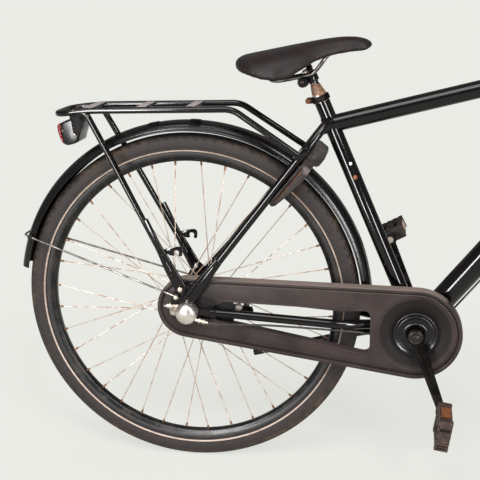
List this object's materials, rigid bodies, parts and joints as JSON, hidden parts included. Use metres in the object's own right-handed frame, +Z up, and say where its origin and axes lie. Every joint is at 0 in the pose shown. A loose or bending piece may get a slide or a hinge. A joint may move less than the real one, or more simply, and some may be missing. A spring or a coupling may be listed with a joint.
{
  "type": "youth city bicycle",
  "caption": "Young rider's upright city bicycle with closed chain case, carrier, mudguards, hub gear, coaster brake, ring lock and folding stand.",
  "frame": {"origin": "centre of the bounding box in plan, on the floor under the tyres", "axes": "+X towards the front wheel, +Y to the bicycle's left, +Z up"},
  "size_m": [1.6846, 0.6026, 1.0422],
  "materials": {
    "gloss_black_paint": "glossy black paint",
    "case_plastic": "satin dark grey-brown plastic",
    "tyre_rubber": "dusty dark rubber",
    "rim_paint": "glossy black paint",
    "hub_steel": "dull plated steel",
    "polished_cover": "polished",
    "rusty_steel": "rusty steel",
    "saddle_vinyl": "satin black vinyl",
    "pedal_plastic": "worn brown-grey plastic",
    "amber_reflector": "amber reflector",
    "red_lens": "red lens",
    "lock_plastic": "dark grey-brown plastic",
    "grip_rubber": "black rubber",
    "cable_housing": "pale grey sleeve"
  },
  "bodies": {
    "frame": {"frame": "gloss_black_paint", "chain_case": "case_plastic", "chain_case_rear_cap": "case_plastic", "crank_cover_disc": "gloss_black_paint", "chain": "rusty_steel", "crank_bearing_cup_left": "hub_steel", "crank_bearing_cup_right": "hub_steel", "rear_axle_and_works": "hub_steel", "brake_reaction_arm": "gloss_black_paint", "brake_arm_clip": "hub_steel", "chain_tensioner_left": "hub_steel", "chain_tensioner_right": "hub_steel", "gear_cover": "polished_cover", "rear_mudguard": "gloss_black_paint", "rear_guard_stay": "hub_steel", "rack": "gloss_black_paint", "rear_lamp_housing": "lock_plastic", "rear_lamp_lens": "red_lens", "ring_lock_body": "lock_plastic", "kickstand_bracket": "gloss_black_paint", "seat_collar": "gloss_black_paint", "lower_headset_cup": "hub_steel", "upper_headset_cup": "hub_steel", "gear_cable": "cable_housing", "gear_cable_loop": "grip_rubber"},
    "rear_wheel": {"rear_rim_and_spokes": "rim_paint", "rear_tyre": "tyre_rubber", "rear_hub_shell": "hub_steel"},
    "sprocket": {"rear_sprocket": "rusty_steel"},
    "crankset": {"crank_spindle": "hub_steel", "crank_left": "gloss_black_paint", "crank_right": "gloss_black_paint", "chainring": "rusty_steel", "pedal_left_axle": "hub_steel", "pedal_right_axle": "hub_steel"},
    "right_pedal": {"pedal_right_body": "pedal_plastic", "pedal_right_reflector": "amber_reflector"},
    "left_pedal": {"pedal_left_body": "pedal_plastic", "pedal_left_reflector": "amber_reflector"},
    "steered_front": {"fork": "gloss_black_paint", "front_axle": "hub_steel", "front_mudguard": "gloss_black_paint", "front_lamp": "lock_plastic"},
    "bars": {"stem": "hub_steel", "handlebar": "hub_steel", "grip_left": "grip_rubber", "grip_right": "grip_rubber", "shifter_housing": "grip_rubber", "bell_clamp": "hub_steel", "bell_dome": "polished_cover"},
    "front_wheel": {"front_rim_and_spokes": "rim_paint", "front_tyre": "tyre_rubber", "front_hub_shell": "hub_steel"},
    "shifter_grip": {"twist_shifter": "grip_rubber"},
    "seat_height": {"seat_post": "rusty_steel", "saddle_clamp": "rusty_steel"},
    "saddle": {"saddle_rails": "hub_steel", "saddle_cushion": "saddle_vinyl"},
    "stand": {"kickstand_leg": "gloss_black_paint"},
    "lock_shackle": {"ring_lock_bolt": "rusty_steel"}
  },
  "joints": [
    {"name": "rear_wheel_spin", "type": "hinge", "parent": "frame", "child": "rear_wheel", "pos_m": [-0.49973, 0, 0.332], "axis": [0, 1, 0], "continuous": true},
    {"name": "crank_spin", "type": "hinge", "parent": "frame", "child": "crankset", "pos_m": [-0.06223, 0, 0.292], "axis": [0, 1, 0], "continuous": true},
    {"name": "sprocket_spin", "type": "hinge", "parent": "frame", "child": "sprocket", "pos_m": [-0.49973, 0, 0.332], "axis": [0, 1, 0], "continuous": true},
    {"name": "right_pedal_spin", "type": "hinge", "parent": "crankset", "child": "right_pedal", "pos_m": [-0.01054, 0, 0.14587], "axis": [0, 1, 0], "continuous": true},
    {"name": "left_pedal_spin", "type": "hinge", "parent": "crankset", "child": "left_pedal", "pos_m": [-0.11392, 0, 0.43813], "axis": [0, 1, 0], "continuous": true},
    {"name": "steering", "type": "hinge", "parent": "frame", "child": "steered_front", "pos_m": [0.29539, 0, 0.75212], "axis": [-0.3584, 0, 0.9336], "range_deg": [-70, 70], "deforming": ["gear_cable_loop"]},
    {"name": "bar_height", "type": "slide", "parent": "steered_front", "child": "bars", "axis": [-0.3584, 0, 0.9336], "range_m": [-0.03, 0.02]},
    {"name": "front_wheel_spin", "type": "hinge", "parent": "steered_front", "child": "front_wheel", "pos_m": [0.51027, 0, 0.332], "axis": [0, 1, 0], "continuous": true},
    {"name": "shifter_twist", "type": "hinge", "parent": "bars", "child": "shifter_grip", "pos_m": [0.24527, -0.218, 1.022], "axis": [-0.9071, -0.4192, -0.0375], "range_deg": [0, 80]},
    {"name": "seat_post_slide", "type": "slide", "parent": "frame", "child": "seat_height", "axis": [-0.379, 0, 0.9254], "range_m": [0, 0.08]},
    {"name": "saddle_tilt", "type": "hinge", "parent": "seat_height", "child": "saddle", "pos_m": [-0.27073, 0, 0.757], "axis": [0, 1, 0], "range_deg": [-12, 12]},
    {"name": "stand_fold", "type": "hinge", "parent": "frame", "child": "stand", "pos_m": [-0.10973, 0.023, 0.273], "axis": [-0.0573, -0.9292, -0.3651], "range_deg": [0, 50.4]},
    {"name": "lock_shackle_turn", "type": "hinge", "parent": "frame", "child": "lock_shackle", "pos_m": [-0.29406, 0, 0.56926], "axis": [-0.7556, 0, 0.655], "range_deg": [0, 184]}
  ],
  "couplings": [
    {"joint": "sprocket_spin", "follows": "crank_spin", "ratio": 2}
  ]
}
